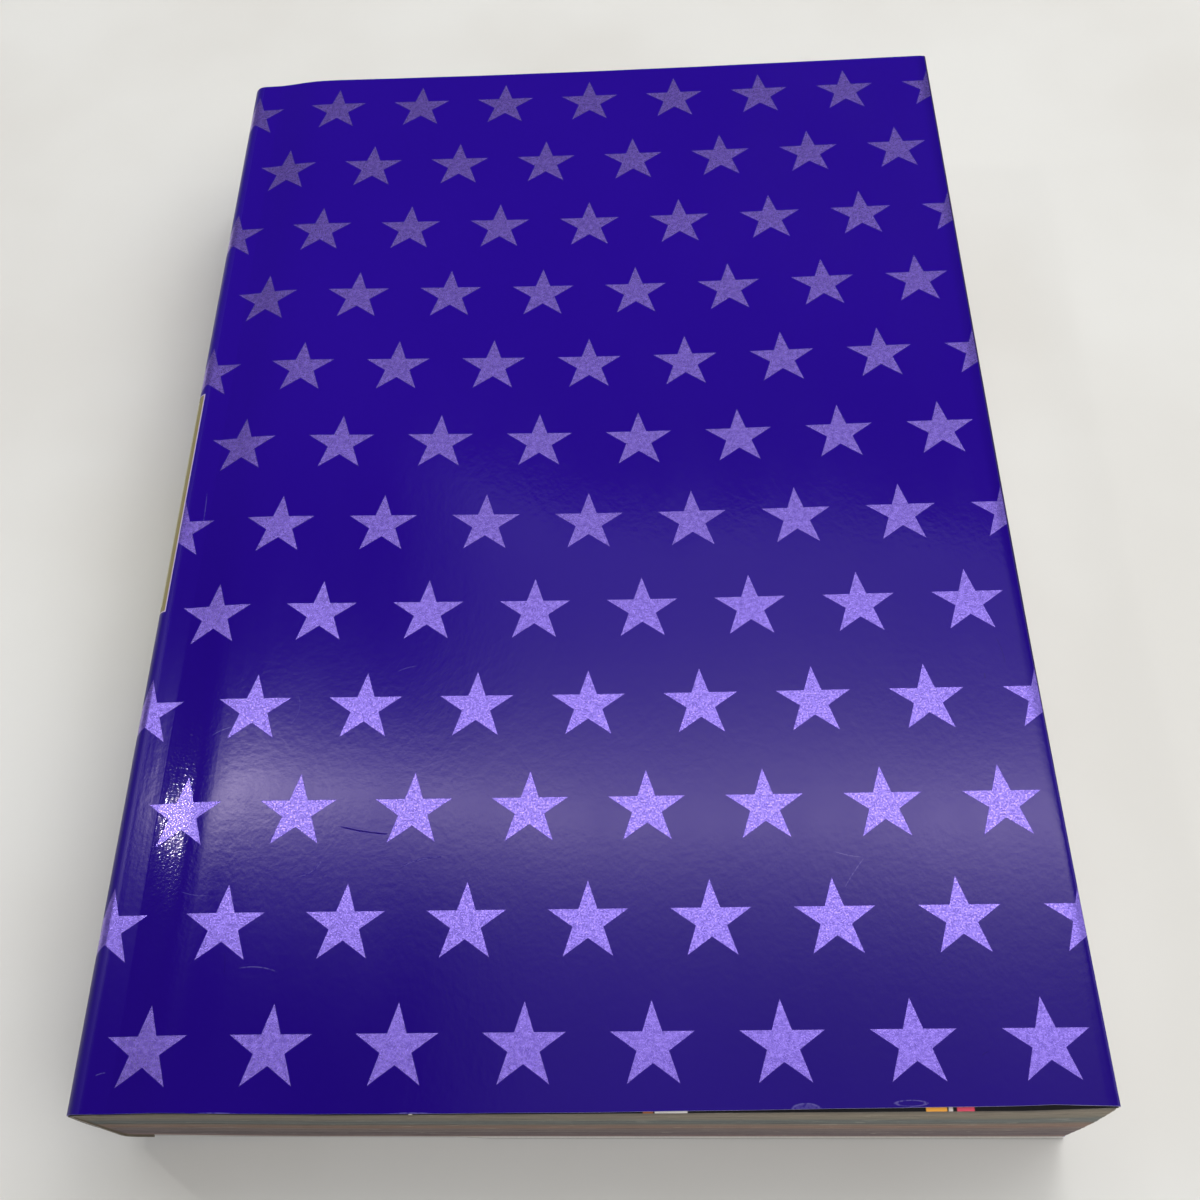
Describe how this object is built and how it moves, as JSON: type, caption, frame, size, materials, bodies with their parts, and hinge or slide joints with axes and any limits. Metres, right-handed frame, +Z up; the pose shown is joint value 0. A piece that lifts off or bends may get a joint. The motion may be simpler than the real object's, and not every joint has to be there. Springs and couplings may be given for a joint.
{
  "type": "art book",
  "caption": "Thick softcover art book in a laminated paper jacket with a star pattern, lying closed, with two covers that open.",
  "frame": {"origin": "middle of the underside of the closed book", "axes": "+X from the spine to the fore edge, +Y along the spine to the edge that is far away in the picture, +Z up through the back cover"},
  "size_m": [0.205, 0.297, 0.04],
  "materials": {
    "page_paper": "matte",
    "binding_glue": "satin",
    "cover_card": "satin",
    "jacket_paper": "gloss"
  },
  "bodies": {
    "book": {"page_block": "page_paper", "spine_glue": "binding_glue", "cover_spine": "cover_card", "jacket_spine": "jacket_paper"},
    "back_cover": {"cover_back": "cover_card", "jacket_back": "jacket_paper"},
    "front_cover": {"cover_front": "cover_card", "jacket_front": "jacket_paper"}
  },
  "joints": [
    {"name": "back_cover_hinge", "type": "hinge", "parent": "book", "child": "back_cover", "pos_m": [-0.0935, 0, 0.03889], "axis": [0, -1, 0], "range_deg": [0, 180]},
    {"name": "front_cover_hinge", "type": "hinge", "parent": "book", "child": "front_cover", "pos_m": [-0.0935, 0, 0.00229], "axis": [0, 1, 0], "range_deg": [0, 180]}
  ]
}
